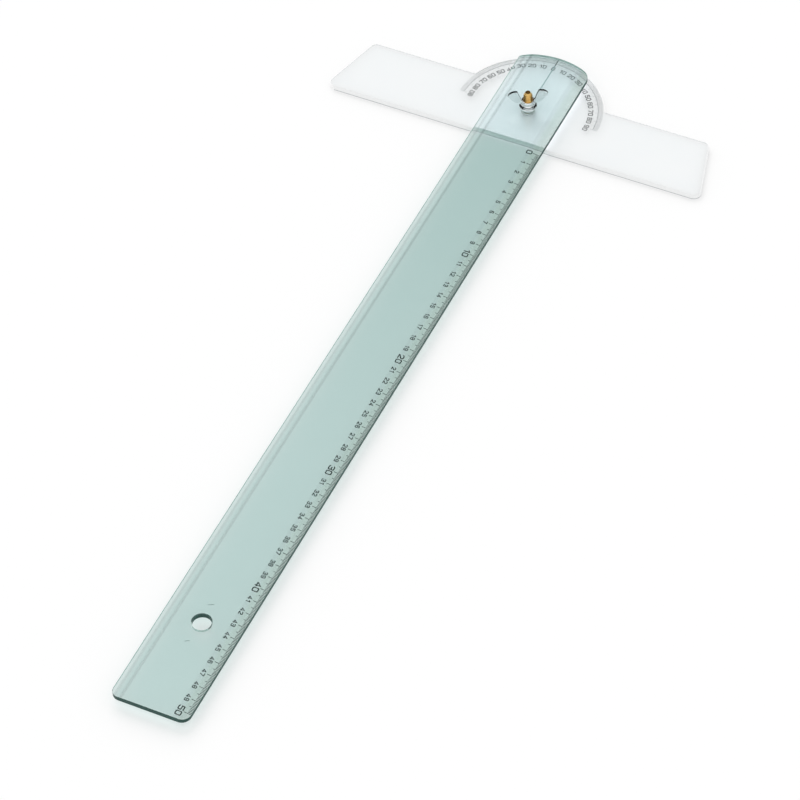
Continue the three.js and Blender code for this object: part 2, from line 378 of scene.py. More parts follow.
def workedMetal(name, look):
    material, tree = newMaterial(name)
    where = millimetres(tree)
    spots = addNode(tree, "ShaderNodeTexNoise", {"Vector": where, "Scale": 1 / look["spotSize"], "Detail": 3.0})
    colour = addNode(tree, "ShaderNodeMix", {
        "Factor": spots, 6: linear(look["dull"]), 7: linear(look["bright"])}, data_type="RGBA")
    # painted dark colour on the marked parts: a dark reflection on the wings' edges, the screw's flat end
    paintedDark = addNode(tree, "ShaderNodeAttribute", attribute_name="paintedDark").outputs["Fac"]
    paintedEdgeColour = addNode(tree, "ShaderNodeMix", {
        "Factor": paintedDark, 6: colour, 7: linear(look["paintedDark"])}, data_type="RGBA")
    low, high = look["roughness"]
    rough = addNode(tree, "ShaderNodeMapRange", {
        "Value": spots, "From Min": 0.3, "From Max": 0.7, "To Min": high, "To Max": low})
    grain = relief(tree, where, look["grainSize"], look["grainHeight"], strength=0.5)
    metal = addNode(tree, "ShaderNodeBsdfPrincipled", {
        "Base Color": paintedEdgeColour, "Metallic": 1.0, "Roughness": rough, "Normal": grain})
    addNode(tree, "ShaderNodeOutputMaterial", {"Surface": metal})
    return material


# Screen-printed ink: matt, a little thin and uneven where it has been rubbed
inkLook = {
    "scale": {"dark": "#04100D", "rubbed": "#152C28"},
    "dial": {"dark": "#33393D", "rubbed": "#565D61"},
    "dialNumber": {"dark": "#0C0F10", "rubbed": "#20272A"},
    "index": {"dark": "#8FACAD", "rubbed": "#A6BFC0"},
    "patchSize": 6.0,
    "grainSize": 0.35,
    "grainHeight": 0.004,
    "roughness": 0.62,
}


def screenInk(name, look):
    material, tree = newMaterial(name)
    where = millimetres(tree)
    patches = addNode(tree, "ShaderNodeTexNoise", {
        "Vector": where, "Scale": 1 / inkLook["patchSize"], "Detail": 4.0, "Roughness": 0.7})
    colour = addNode(tree, "ShaderNodeMix", {
        "Factor": patches, 6: linear(look["dark"]), 7: linear(look["rubbed"])}, data_type="RGBA")
    grain = relief(tree, where, inkLook["grainSize"], inkLook["grainHeight"], strength=0.4)
    ink = addNode(tree, "ShaderNodeBsdfPrincipled", {
        "Base Color": colour, "Roughness": inkLook["roughness"], "Normal": grain})
    addNode(tree, "ShaderNodeOutputMaterial", {"Surface": ink})
    return material


# What two sheets took from the light on its way down is made up for
tinted = acrylicLook["tinted"]
gain = [g * math.exp(a * tinted["viewPath"] * mm / 2) for a, g in zip(tinted["absorbs"], tinted["gathered"])]
clearCastAcrylic = castAcrylic("clearCastAcrylic", acrylicLook["clear"], clearSheetColour)
tintedCastAcrylic = castAcrylic("tintedCastAcrylic", tinted, tintedSheetColour, gain)
turnedBrass = workedMetal("turnedBrass", brassLook)
brightNickel = workedMetal("brightNickelPlate", nickelLook)
scaleInk = screenInk("darkGreenScreenInk", inkLook["scale"])
dialInk = screenInk("greyScreenInk", inkLook["dial"])
dialNumberInk = screenInk("darkGreyScreenInk", inkLook["dialNumber"])
indexInk = screenInk("greenIndexInk", inkLook["index"])
print("materials ready")


# Sheets of acrylic

# Points of an arc, both ends included, angles in radians
def arcPoints(x, y, radius, start, end, segments):
    angles = [start + (end - start) * i / segments for i in range(segments + 1)]
    return [(x + radius * math.cos(a), y + radius * math.sin(a)) for a in angles]


def mirrored(points):
    return [(-x, y) for x, y in reversed(points)]


def circle(x, y, radius, segments=48):
    return arcPoints(x, y, radius, 0, 2 * math.pi, segments)[:-1]


def newSheet():
    return {"points": [], "faces": [], "sawn": [], "litEdge": [], "rim": []}


# One closed ring of points, in millimetres; the height may depend on x
def addRing(sheet, points, height, rim=0.0):
    start = len(sheet["points"])
    for x, y in points:
        sheet["points"].append((x, y, height(x) if callable(height) else height))
        sheet["rim"].append(rim)
    return list(range(start, len(sheet["points"])))


# Walls between rings in turn, each sawn by its share, with a test for the faces turned to the light, which let more
# light in and are painted paler
def addWalls(sheet, rings, shares, isLit=None):
    count = len(rings[0])
    for lower, upper, sawn in zip(rings, rings[1:], shares):
        for i in range(count):
            j = (i + 1) % count
            x, y = [(a + b) / 2 for a, b in zip(sheet["points"][lower[i]][:2], sheet["points"][lower[j]][:2])]
            sheet["faces"].append((lower[i], lower[j], upper[j], upper[i]))
            sheet["sawn"].append(sawn)
            sheet["litEdge"].append(1.0 if isLit and isLit(x, y) else 0.0)


# Flat face inside the first loop, with the other loops left open
def addCap(sheet, *loops):
    order = [i for loop in loops for i in loop]
    corners = [[Vector((*sheet["points"][i][:2], 0)) for i in loop] for loop in loops]
    for triangle in tessellate_polygon(corners):
        sheet["faces"].append(tuple(order[i] for i in triangle))
        sheet["sawn"].append(0.0)
        sheet["litEdge"].append(0.0)


def buildSheet(sheet, pieceName, material, sharpAngle=25.0):
    mesh = bpy.data.meshes.new(pieceName)
    mesh.from_pydata([tuple(c * mm for c in p) for p in sheet["points"]], [], sheet["faces"])
    for name in ("sawn", "litEdge"):
        mesh.attributes.new(name, "FLOAT", "FACE").data.foreach_set("value", sheet[name])
    mesh.attributes.new("rim", "FLOAT", "POINT").data.foreach_set("value", sheet["rim"])
    shape = bmesh.new()
    shape.from_mesh(mesh)
    bmesh.ops.recalc_face_normals(shape, faces=shape.faces)
    shape.to_mesh(mesh)
    shape.free()
    mesh.materials.append(material)
    mesh.polygons.foreach_set("use_smooth", [True] * len(mesh.polygons))
    mesh.set_sharp_from_angle(angle=math.radians(sharpAngle))
    return linkObject(pieceName, mesh)


headShape = {
    "thickness": 3.5,
    "frontReach": 30.2,
    "backReach": 19.2,
    "halfLength": 127.2,
    "endSlant": 15.0,
    "cornerRadius": 5.0,
    "chamferWidth": 0.8,
    "chamferDepth": 0.7,
    "tabRadius": 51.0,
    "arris": 0.12,
    # a band this wide inside the chamfer, fading over the next, is painted brighter: a painted pool of light
    "rimWidth": 2.6,
    "rimFade": 0.9,
    "hole": 3.1,
    "recess": 4.6,
    "recessDepth": 1.6,
    "boreSawn": 0.6,               # share of the satin look on the bore's wall
    "litBehind": 14.0,             # edges beyond this y, or left of this x, are turned to the light: painted paler, with no painted shade along the bottom
    "litLeft": -121.0,
}


# Outline of the head and its dial tab, drawn in by the inset all round
def headOutline(inset):
    size = headShape
    slant = math.radians(size["endSlant"])
    corner = size["cornerRadius"] - inset
    reach = size["halfLength"] * math.cos(slant) - size["cornerRadius"]

    def cornerX(y):
        return (reach - y * math.sin(slant)) / math.cos(slant)

    frontY = size["cornerRadius"] - size["frontReach"]
    backY = size["backReach"] - size["cornerRadius"]
    tab = size["tabRadius"] - inset
    tabStart = math.asin((size["backReach"] - inset) / tab)
    right = arcPoints(cornerX(frontY), frontY, corner, -math.pi / 2, slant, 12)
    right += arcPoints(cornerX(backY), backY, corner, slant, math.pi / 2, 12)
    return right + arcPoints(0, 0, tab, tabStart, math.pi - tabStart, 96) + mirrored(right)


def makeHead(size):
    sheet = newSheet()
    top, arris = size["thickness"], size["arris"]
    chamfer, step = size["chamferWidth"], size["recessDepth"]
    rimEnd = chamfer + size["rimWidth"]
    # the top's band near the edge is marked for the painted light of clearSheetColour
    rings = [addRing(sheet, headOutline(inset), height, rim) for inset, height, rim in (
        (arris, 0.0, 0.0), (0, arris, 0.0), (0, top - size["chamferDepth"], 0.0),
        (chamfer, top, 1.0), (rimEnd, top, 1.0), (rimEnd + size["rimFade"], top, 0.0))]
    addWalls(sheet, rings, (1, 1, 1, 0, 0), lambda x, y: y > size["litBehind"] or x < size["litLeft"])
    bore = [addRing(sheet, circle(0, 0, radius), height) for radius, height in (
        (size["recess"], 0.0), (size["recess"], step), (size["hole"], step), (size["hole"], top))]
    addWalls(sheet, bore, [size["boreSawn"]] * 3)
    addCap(sheet, rings[0], bore[0])
    addCap(sheet, rings[-1], bore[-1])
    head = buildSheet(sheet, "protractorHeadSheet", clearCastAcrylic)
    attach(head, "head")
    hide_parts("protractor_head")


bladeShape = {
    "bottom": 3.6,
    "thickness": 3.5,
    "halfWidth": 25.5,
    "reach": 545.0,
    "archRadius": 50.5,
    "scaleCorner": 8.0,
    "plainCorner": 1.5,
    "endCorner": 6.0,
    "bevelWidth": 7.0,
    "edgeThickness": 2.6,
    "arris": 0.12,
    "hole": 3.1,
    "hangingHole": 6.0,
    "hangingHoleAt": -475.6,
    "hangingHoleArris": 0.45,
    # edges beyond this y, or left of this x, are turned to the light and painted pale
    "litBehind": 42.0,
    "litLeft": -25.3,
    "litInHole": 2.0,              # the front part of a bore, from this far before its middle, is turned to the light and painted pale
}


# Height of the straightedge's upper face
def bladeTop(x):
    size = bladeShape
    share = min(1.0, (size["halfWidth"] - abs(x)) / size["bevelWidth"])
    return size["bottom"] + size["edgeThickness"] + (size["thickness"] - size["edgeThickness"]) * share


# One side of the outline, from the crease on the free end to the crease on the arch
def bladeSide(cornerRadius, inset):
    size = bladeShape
    crease = size["halfWidth"] - size["bevelWidth"]
    endX = size["halfWidth"] - size["endCorner"]
    endY = size["endCorner"] - size["reach"]
    x = size["halfWidth"] - cornerRadius
    y = math.sqrt((size["archRadius"] - cornerRadius) ** 2 - x ** 2)
    meet = math.atan2(y, x)
    arch = size["archRadius"] - inset
    points = [(crease, inset - size["reach"])]
    points += arcPoints(endX, endY, size["endCorner"] - inset, -math.pi / 2, 0, 12)
    points += arcPoints(x, y, cornerRadius - inset, 0, meet, 12)
    return points + arcPoints(0, 0, arch, meet, math.acos(crease / arch), 6)[1:]


# Whole outline, and the place in it of its four crease points
def bladeOutline(inset):
    size = bladeShape
    arch = size["archRadius"] - inset
    start = math.acos((size["halfWidth"] - size["bevelWidth"]) / arch)
    right = bladeSide(size["scaleCorner"], inset)
    left = mirrored(bladeSide(size["plainCorner"], inset))
    back = arcPoints(0, 0, arch, start, math.pi - start, 40)[1:-1]
    points = right + back + left
    leftStart = len(right) + len(back)
    return points, (0, len(right) - 1, leftStart, len(points) - 1)


def makeBlade(size):
    sheet = newSheet()
    bottom, arris = size["bottom"], size["arris"]
    outer, creases = bladeOutline(0)
    inner, _ = bladeOutline(arris)
    rings = [
        addRing(sheet, inner, bottom),
        addRing(sheet, outer, bottom + arris),
        addRing(sheet, outer, lambda x: bladeTop(x) - arris),
        addRing(sheet, inner, bladeTop),
    ]
    addWalls(sheet, rings, (1, 1, 1), lambda x, y: y > size["litBehind"] or x < size["litLeft"])
    holes = []
    top = bottom + size["thickness"]
    for middle, radius, cut in ((0.0, size["hole"], arris),
                                (size["hangingHoleAt"], size["hangingHole"], size["hangingHoleArris"])):
        bore = [addRing(sheet, circle(0, middle, radius + wider), height) for wider, height in (
            (arris, bottom), (0, bottom + arris), (0, top - cut), (cut, top))]
        addWalls(sheet, bore, (1, 1, 1), lambda x, y: y < middle - size["litInHole"])
        holes.append(bore)
    addCap(sheet, rings[0], *[bore[0] for bore in holes])
    rim = rings[-1]
    endRight, archRight, archLeft, endLeft = creases
    addCap(sheet, rim[endRight:archRight + 1])
    addCap(sheet, [rim[endRight]] + rim[archRight:archLeft + 1] + [rim[endLeft]], *[bore[-1] for bore in holes])
    addCap(sheet, rim[archLeft:endLeft + 1])
    blade = buildSheet(sheet, "straightedgeSheet", tintedCastAcrylic, sharpAngle=5.0)
    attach(blade, "straightedge")
    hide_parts("straightedge_blade")


makeHead(headShape)
makeBlade(bladeShape)
print("acrylic sheets ready")


# Metal pieces

def meshOf(name, shape):
    mesh = bpy.data.meshes.new(name)
    shape.to_mesh(mesh)
    shape.free()
    return mesh


# Mesh of revolution about Z from a closed profile of radius and height
def turnedMesh(profile, segments=64):
    shape = bmesh.new()
    rings = []
    for i in range(segments):
        turn = 2 * math.pi * i / segments
        rings.append([shape.verts.new((r * mm * math.cos(turn), r * mm * math.sin(turn), z * mm)) for r, z in profile])
    for i in range(segments):
        here, there = rings[i], rings[(i + 1) % segments]
        for j in range(len(profile)):
            k = (j + 1) % len(profile)
            shape.faces.new((here[j], there[j], there[k], here[k]))
    bmesh.ops.recalc_face_normals(shape, faces=shape.faces)
    return shape


# Closed profile with each corner cut to a small arc
def rounded(corners, radius, steps=4):
    points = []
    count = len(corners)
    for i, corner in enumerate(corners):
        here = Vector(corner)
        before = Vector(corners[i - 1]) - here
        after = Vector(corners[(i + 1) % count]) - here
        reach = min(radius, before.length / 2.2, after.length / 2.2)  # under half of each side
        start = here + before.normalized() * reach
        end = here + after.normalized() * reach
        for step in range(steps + 1):
            t = step / steps
            points.append(tuple(start * (1 - t) ** 2 + here * 2 * t * (1 - t) + end * t ** 2))
    return points


def addPiece(name, mesh, material, body, node=None, smooth=True):
    mesh.materials.clear()
    mesh.materials.append(material)
    mesh.polygons.foreach_set("use_smooth", [smooth] * len(mesh.polygons))
    piece = linkObject(name, mesh)
    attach(piece, body)
    if node:
        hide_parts(node)
    return piece


# Plain mesh of an object with its modifiers applied
def evaluatedMesh(thing):
    graph = bpy.context.evaluated_depsgraph_get()
    graph.update()
    return bpy.data.meshes.new_from_object(thing.evaluated_get(graph))


# Runs a Geometry Nodes tree with the named inputs set, lengths in millimetres, and returns the plain mesh
def growMesh(name, tree, lengths, others):
    values = {label: length * mm for label, length in lengths.items()} | others
    holder = linkObject(name, bpy.data.meshes.new(name))
    modifier = holder.modifiers.new(name, "NODES")
    modifier.node_group = tree
    for item in tree.interface.items_tree:
        if item.item_type == "SOCKET" and item.in_out == "INPUT" and item.name in values:
            modifier[item.identifier] = values[item.name]
    mesh = evaluatedMesh(holder)
    bpy.data.objects.remove(holder)
    return mesh


# A new tree and the sockets of its named inputs: sizes, whole numbers and one material
def startTree(name, sizes, counts, material):
    tree = bpy.data.node_groups.new(name, "GeometryNodeTree")
    kinds = [(label, "NodeSocketFloat") for label in sizes] + [(label, "NodeSocketInt") for label in counts]
    for label, kind in kinds + [(material, "NodeSocketMaterial")]:
        tree.interface.new_socket(name=label, in_out="INPUT", socket_type=kind)
    tree.interface.new_socket(name="Mesh", in_out="OUTPUT", socket_type="NodeSocketGeometry")
    return tree, addNode(tree, "NodeGroupInput").outputs


def finishTree(tree, shape, material):
    whole = addNode(tree, "GeometryNodeRealizeInstances", {0: shape})
    dressed = addNode(tree, "GeometryNodeSetMaterial", {"Geometry": whole, "Material": material})
    addNode(tree, "NodeGroupOutput", {0: dressed})
    return tree


# A radius times the cosine and the sine of an angle
def onCircle(tree, radius, angle):
    parts = []
    for part in ("COSINE", "SINE"):
        share = addNode(tree, "ShaderNodeMath", {0: angle}, operation=part)
        parts.append(addNode(tree, "ShaderNodeMath", {0: radius, 1: share}, operation="MULTIPLY"))
    return parts


screwShape = {
    "top": 20.2,
    "radius": 3.0,
    "pitch": 1.0,
    "threadDepth": 0.55,
    "flank": (0.07, 0.42),         # from crest to root, in pitches
    "tipChamfer": 1.4,
    "tipSlope": 0.55,
    "headRadius": 4.5,
    "headThickness": 1.5,
    "segments": 48,
    "rowsPerPitch": 11,
    "darkEndDepth": 0.1,
    "sharpAngle": 38.0,
}


# A cylinder whose rows are drawn in along a right-hand helix, with a flat head below and a chamfered tip
def screwTree():
    tree, given = startTree("threadedScrew", (
        "Length", "Radius", "Pitch", "Thread depth", "Tip chamfer", "Tip slope", "Head radius", "Head thickness",
        "Crest share", "Root share"), ("Segments", "Rows"), "Metal")
    bar = addNode(tree, "GeometryNodeMeshCylinder", {
        "Vertices": given["Segments"], "Side Segments": given["Rows"],
        "Radius": given["Radius"], "Depth": given["Length"]})
    position = addNode(tree, "GeometryNodeInputPosition")
    place = addNode(tree, "ShaderNodeSeparateXYZ", {0: position})
    halfLength = addNode(tree, "ShaderNodeMath", {0: given["Length"], 1: 0.5}, operation="MULTIPLY")
    height = addNode(tree, "ShaderNodeMath", {0: place.outputs["Z"], 1: halfLength}, operation="ADD")
    angle = addNode(tree, "ShaderNodeMath", {0: place.outputs["Y"], 1: place.outputs["X"]}, operation="ARCTAN2")
    pitches = addNode(tree, "ShaderNodeMath", {0: height, 1: given["Pitch"]}, operation="DIVIDE")
    share = addNode(tree, "ShaderNodeMath", {0: angle, 1: 2 * math.pi}, operation="DIVIDE")
    turns = addNode(tree, "ShaderNodeMath", {0: pitches, 1: share}, operation="SUBTRACT")
    # from 0 at the crest to 1 at the root, with flats at both
    wave = addNode(tree, "ShaderNodeMath", {0: turns, 1: 0.5}, operation="PINGPONG")
    flank = addNode(tree, "ShaderNodeMapRange", {
        "Value": wave, "From Min": given["Crest share"], "From Max": given["Root share"], "To Min": 0.0, "To Max": 1.0})
    depth = addNode(tree, "ShaderNodeMath", {0: flank, 1: given["Thread depth"]}, operation="MULTIPLY")
    threaded = addNode(tree, "ShaderNodeMath", {0: given["Radius"], 1: depth}, operation="SUBTRACT")
    # the tip narrows by its chamfer
    fromTop = addNode(tree, "ShaderNodeMath", {0: given["Length"], 1: height}, operation="SUBTRACT")
    tipRadius = addNode(tree, "ShaderNodeMath", {0: given["Radius"], 1: given["Tip chamfer"]}, operation="SUBTRACT")
    tip = addNode(tree, "ShaderNodeMath", {0: fromTop, 1: given["Tip slope"], 2: tipRadius}, operation="MULTIPLY_ADD")
    shank = addNode(tree, "ShaderNodeMath", {0: threaded, 1: tip}, operation="MINIMUM")
    # the flat head at the foot
    inHead = addNode(tree, "ShaderNodeMath", {0: height, 1: given["Head thickness"]}, operation="LESS_THAN")
    radius = addNode(tree, "ShaderNodeMix", {"Factor": inHead, 2: shank, 3: given["Head radius"]})
    x, y = onCircle(tree, radius, angle)
    moved = addNode(tree, "ShaderNodeCombineXYZ", {0: x, 1: y, 2: height})
    shaped = addNode(tree, "GeometryNodeSetPosition", {"Geometry": bar, "Position": moved})
    return finishTree(tree, shaped, given["Metal"])


def makeScrew(size):
    rows = round(size["top"] / size["pitch"] * size["rowsPerPitch"])
    mesh = growMesh("pivotScrewThreaded", screwTree(), {
        "Length": size["top"], "Radius": size["radius"], "Pitch": size["pitch"], "Thread depth": size["threadDepth"],
        "Tip chamfer": size["tipChamfer"], "Head radius": size["headRadius"], "Head thickness": size["headThickness"],
    }, {"Tip slope": size["tipSlope"], "Crest share": size["flank"][0], "Root share": size["flank"][1],
        "Segments": size["segments"], "Rows": rows, "Metal": turnedBrass})
    # the flat end of the screw is coloured dark
    darkEnd = [1.0 if v.co.z > (size["top"] - size["darkEndDepth"]) * mm else 0.0 for v in mesh.vertices]
    mesh.attributes.new("paintedDark", "FLOAT", "POINT").data.foreach_set("value", darkEnd)
    screw = addPiece("pivotScrewThreaded", mesh, turnedBrass, "head", "pivot_screw")
    screw.data.set_sharp_from_angle(angle=math.radians(size["sharpAngle"]))


washerShape = {"bottom": 7.2, "bore": 3.2, "radius": 6.0, "thickness": 1.6, "edge": 0.35}


def makeWasher(size):
    low, high = size["bottom"], size["bottom"] + size["thickness"]
    corners = [(size["bore"], low), (size["radius"], low), (size["radius"], high), (size["bore"], high)]
    shape = turnedMesh(rounded(corners, size["edge"], 5), 72)
    mesh = meshOf("washerRounded", shape)
    addPiece("washerRounded", mesh, brightNickel, "washer", "flat_washer")


nutShape = {
    "bottom": 8.9,
    "bore": 3.15,
    # outside of the hub, radius and height above its foot
    "hub": ((5.3, 0.0), (5.3, 1.1), (4.35, 1.35), (4.1, 2.4), (4.5, 3.0), (4.5, 4.25), (4.1, 4.6)),
    "boreTop": ((3.3, 4.6), (3.15, 4.45)),
    "rounding": 0.35,
    # side view of a wing: its foot on the hub, then curves out and up to the crest and back, each with a
    # control point, an end and a number of steps
    "wingFoot": ((3.65, 1.1), (4.2, 1.1)),
    "wingCurves": (((10.05, 3.125), (13.4, 9.25), 14), ((12.06, 12.875), (7.236, 12.5), 10),
                   ((5.762, 9.0), (4.4, 4.5), 8)),
    "wingTop": (3.65, 4.2),
    "wingThickness": 1.6,
    "wingTurn": 30.0,
    "darkEdgeFrom": 4.8,                # the wings' painted dark edges start this far out,
    "flatWithin": 0.75,            # where the surface faces less than this along the wing's flat side
    "voxel": 0.11,
    "smoothing": 3,
}


def wingOutline(size):
    points = [Vector(p) for p in size["wingFoot"]]
    for control, end, steps in size["wingCurves"]:
        start = points[-1]
        for t in [i / steps for i in range(1, steps + 1)]:
            points.append(start * (1 - t) ** 2 + Vector(control) * 2 * t * (1 - t) + Vector(end) * t * t)
    return points + [Vector(size["wingTop"])]


def makeNut(size):
    hub = [(size["bore"], 0.0), *size["hub"], *size["boreTop"]]
    shape = turnedMesh(rounded(hub, size["rounding"], 3), 72)
    outline = wingOutline(size)
    half = size["wingThickness"] / 2
    for side in (0.0, 180.0):
        spin = Matrix.Rotation(math.radians(size["wingTurn"] + side), 3, "Z")
        faces = []
        for y in (-half, half):
            faces.append([shape.verts.new(spin @ Vector((x, y, z)) * mm) for x, z in outline])
        shape.faces.new(faces[0])
        shape.faces.new(reversed(faces[1]))
        for i in range(len(outline)):
            j = (i + 1) % len(outline)
            shape.faces.new((faces[0][i], faces[0][j], faces[1][j], faces[1][i]))
    bmesh.ops.recalc_face_normals(shape, faces=shape.faces)
    bmesh.ops.translate(shape, verts=shape.verts, vec=(0, 0, size["bottom"] * mm))
    rough = linkObject("wingNutRough", meshOf("wingNutRough", shape))
    remesh = rough.modifiers.new("skin", "REMESH")
    remesh.mode = "VOXEL"
    remesh.voxel_size = size["voxel"] * mm
    smooth = rough.modifiers.new("polish", "SMOOTH")
    smooth.factor = 0.5
    smooth.iterations = size["smoothing"]
    whole = evaluatedMesh(rough)
    bpy.data.objects.remove(rough)
    # the wings' edges get a painted dark reflection: away from the hub, and not turned the way the flat sides are
    turn = math.radians(size["wingTurn"])
    flatWay = Vector((-math.sin(turn), math.cos(turn), 0))
    cut = [1.0 if Vector(v.co[:2]).length > size["darkEdgeFrom"] * mm and abs(v.normal.dot(flatWay)) < size["flatWithin"]
           else 0.0 for v in whole.vertices]
    whole.attributes.new("paintedDark", "FLOAT", "POINT").data.foreach_set("value", cut)
    addPiece("wingNutPressed", whole, brightNickel, "nut", "wing_nut")


makeScrew(screwShape)
makeWasher(washerShape)
makeNut(nutShape)
print("screw, washer and wing nut ready")


# Print on the sheets: ticks by Geometry Nodes, numbers drawn with a stroke font

printLayer = {"lift": 0.01, "thickness": 0.02}

scalePrint = {
    "zero": -38.85,
    "marks": 501,
    "spacing": 1.0,
    "numbers": 51,
    "numberEvery": 10,             # and every tenth number is large
    "from": 25.3,
    "short": 2.3,
    "middle": 3.5,
    "long": 4.8,
    "width": 0.38,
    "numberCentre": 18.1,
    "small": (3.0, 1.72, 0.55),    # height, width and stroke of a digit
    "large": (4.2, 2.75, 0.72),
    "gap": 0.55,
}

dialPrint = {
    "height": 3.5,
    "marks": 181,
    "outer": 49.75,
    "short": 3.3,
    "middle": 4.3,
    "long": 5.2,
    "width": 0.13,
    "arc": 46.45,
    "arcWidth": 0.2,
    "arcPoints": 121,
    "numberRadius": 41.5,
    "number": (3.3, 1.95, 0.48),
    "numberEvery": 10,             # degrees
    "gap": 0.5,
}

# Under the straightedge: a pale line from the nut, and a dark mark where it crosses the dial's ticks
indexPrint = {"height": 3.56, "width": 0.55, "line": ((0, 6.4), (0, 44.5)), "mark": ((0, 44.5), (0, 50.2))}

# Two faint mould marks, one to each side of the hanging hole
mouldMarks = {"strokes": (((-2.3, -462.7), (0.8, -461.0)), ((-2.5, -492.5), (-0.3, -491.2))), "width": 0.3}

# Strokes of each digit in a box 0.6 wide and 1 high, boxy with cut corners; a 1 takes up less of the line
digitBox = 0.6
narrowOne = 0.7
digitStrokes = {
    "0": [[(0.1, 0), (0.5, 0), (0.6, 0.12), (0.6, 0.88), (0.5, 1), (0.1, 1), (0, 0.88), (0, 0.12), (0.1, 0)]],
    "1": [[(0.1, 0.8), (0.34, 1), (0.34, 0)]],
    "2": [[(0, 0.8), (0, 0.88), (0.1, 1), (0.5, 1), (0.6, 0.88), (0.6, 0.6), (0, 0.1), (0, 0), (0.6, 0)]],
    "3": [[(0, 0.88), (0.1, 1), (0.5, 1), (0.6, 0.88), (0.6, 0.63), (0.5, 0.53), (0.2, 0.53)],
          [(0.5, 0.53), (0.6, 0.42), (0.6, 0.12), (0.5, 0), (0.1, 0), (0, 0.12)]],
    "4": [[(0.46, 0), (0.46, 1), (0, 0.32), (0, 0.25), (0.6, 0.25)]],
    "5": [[(0.58, 1), (0.04, 1), (0.02, 0.56), (0.48, 0.58), (0.6, 0.46), (0.6, 0.12), (0.5, 0), (0.1, 0), (0, 0.12)]],
    "6": [[(0.56, 0.9), (0.46, 1), (0.1, 1), (0, 0.88), (0, 0.12), (0.1, 0), (0.5, 0), (0.6, 0.12), (0.6, 0.45),
           (0.5, 0.56), (0, 0.56)]],
    "7": [[(0, 1), (0.6, 1), (0.6, 0.92), (0.22, 0)]],
    "8": [[(0.1, 0.53), (0, 0.63), (0, 0.88), (0.1, 1), (0.5, 1), (0.6, 0.88), (0.6, 0.63), (0.5, 0.53), (0.1, 0.53)],
          [(0.1, 0.53), (0, 0.42), (0, 0.12), (0.1, 0), (0.5, 0), (0.6, 0.12), (0.6, 0.42), (0.5, 0.53)]],
    "9": [[(0.04, 0.1), (0.14, 0), (0.5, 0), (0.6, 0.12), (0.6, 0.88), (0.5, 1), (0.1, 1), (0, 0.88), (0, 0.55),
           (0.1, 0.44), (0.6, 0.44)]],
}


# Closed thin slab along a line of points; place turns flat points with a height into the sheet's space
def strokeSlab(shape, points, width, thickness, place):
    line = [Vector(p) for p in points]
    left, right = [], []
    for i, here in enumerate(line):
        before = (here - line[i - 1]).normalized() if i else None
        after = (line[i + 1] - here).normalized() if i + 1 < len(line) else None
        if before is None or after is None:
            along = after or before
            side = Vector((-along.y, along.x)) * width / 2
            cap = along * width / 2 * (-1 if before is None else 1)
            left.append(here + side + cap)
            right.append(here - side + cap)
            continue
        along = (before + after).normalized()
        side = Vector((-along.y, along.x))
        # a sharp corner isn't drawn out further than this
        side *= width / 2 / max(0.5, side.dot(Vector((-after.y, after.x))))
        left.append(here + side)
        right.append(here - side)
    low = [shape.verts.new(place(p, 0.0)) for p in left + right[::-1]]
    high = [shape.verts.new(place(p, thickness)) for p in left + right[::-1]]
    count = len(line)
    for i in range(count - 1):
        j = 2 * count - 1 - i
        shape.faces.new((high[i], high[j], high[j - 1], high[i + 1]))
        shape.faces.new((low[i + 1], low[j - 1], low[j], low[i]))
    for i in range(2 * count):
        j = (i + 1) % (2 * count)
        shape.faces.new((high[i], high[j], low[j], low[i]))


# Number centred on the origin of its own flat space
def writeNumber(shape, text, digitSize, gap, thickness, place):
    height, width, stroke = digitSize
    widths = [width * narrowOne if digit == "1" else width for digit in text]
    x = -(sum(widths) + (gap + stroke) * (len(text) - 1)) / 2
    for digit, itsWidth in zip(text, widths):
        for points in digitStrokes[digit]:
            flat = [(x + px / digitBox * width, (py - 0.5) * (height - stroke)) for px, py in points]
            strokeSlab(shape, flat, stroke, thickness, place)
        x += itsWidth + gap + stroke


# Starts a tree of tick marks, longer at every fifth and every tenth, with a mark's number, length and half length
def startTicks(name, sizes, counts=()):
    tree, given = startTree(name, (
        "Spacing", "Short", "Middle", "Long", "Width", "Thickness", "Height", *sizes), ("Marks", *counts), "Ink")
    index = addNode(tree, "GeometryNodeInputIndex")
    length = given["Short"]
    for every, shorter, longer in ((5.0, "Short", "Middle"), (10.0, "Middle", "Long")):
        rest = addNode(tree, "ShaderNodeMath", {0: index, 1: every}, operation="MODULO")
        isMark = addNode(tree, "ShaderNodeMath", {0: rest, 1: 0.5}, operation="LESS_THAN")
        more = addNode(tree, "ShaderNodeMath", {0: given[longer], 1: given[shorter]}, operation="SUBTRACT")
        length = addNode(tree, "ShaderNodeMath", {0: isMark, 1: more, 2: length}, operation="MULTIPLY_ADD")
    half = addNode(tree, "ShaderNodeMath", {0: length, 1: 0.5}, operation="MULTIPLY")
    return tree, given, index, length, half


# Puts a thin box on each spot, then ends the tree
def finishTicks(tree, given, spot, size, turn, extra=None):
    row = addNode(tree, "GeometryNodeMeshLine", {"Count": given["Marks"], "Offset": (0, 0, 0)})
    placed = addNode(tree, "GeometryNodeSetPosition", {"Geometry": row, "Position": spot})
    box = addNode(tree, "GeometryNodeMeshCube", {"Size": (1, 1, 1)})
    result = addNode(tree, "GeometryNodeInstanceOnPoints", {
        "Points": placed, "Instance": box, "Rotation": turn, "Scale": size})
    if extra:
        join = addNode(tree, "GeometryNodeJoinGeometry", {0: result})
        tree.links.new(extra.outputs[0], join.inputs[0])
        result = join
    return finishTree(tree, result, given["Ink"])


